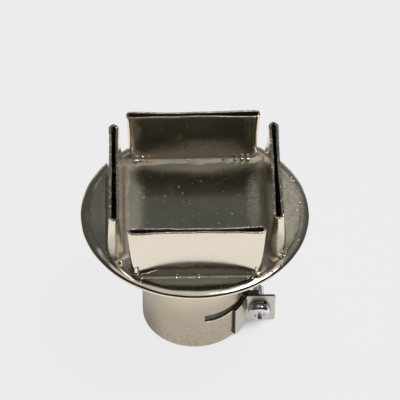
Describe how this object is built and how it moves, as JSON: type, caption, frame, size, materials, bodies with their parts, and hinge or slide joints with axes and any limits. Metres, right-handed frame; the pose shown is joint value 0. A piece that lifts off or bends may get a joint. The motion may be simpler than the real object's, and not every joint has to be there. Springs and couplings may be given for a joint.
{
  "type": "hot-air nozzle",
  "caption": "Hot-air rework nozzle: a split neck with a clamp screw widens to a round head whose flat slot outlets heat the edges of a square chip.",
  "frame": {"origin": "middle of the neck's open end, on the neck's axis", "axes": "+Z along the neck towards the outlets, -Y the front with the screw head, +X the side that the clamp's ears point to"},
  "size_m": [0.0492, 0.0492, 0.0434],
  "materials": {
    "nickel": "bright nickel plate on sheet steel",
    "braze": "plated brazing metal, uneven",
    "zinc": "bright zinc plate on steel"
  },
  "bodies": {
    "nozzle": {"neck_tube": "nickel", "funnel": "nickel", "top_plate": "nickel", "outlet_front": "nickel", "outlet_back": "nickel", "outlet_left": "nickel", "outlet_right": "nickel", "braze_fillets": "braze", "front_ear": "nickel", "rear_ear": "nickel"},
    "washer": {"spring_washer": "zinc"},
    "screw": {"clamp_screw": "zinc"}
  },
  "joints": [
    {"name": "screw_travel", "type": "slide", "parent": "nozzle", "child": "washer", "axis": [0, -1, 0], "range_m": [0, 0.00225]},
    {"name": "screw_turn", "type": "hinge", "parent": "washer", "child": "screw", "pos_m": [0.01416, -0.0041, 0.00415], "axis": [0, -1, 0], "range_deg": [0, 1800]}
  ],
  "couplings": [
    {"joint": "screw_turn", "follows": "screw_travel", "rad_per_m": 13963}
  ]
}
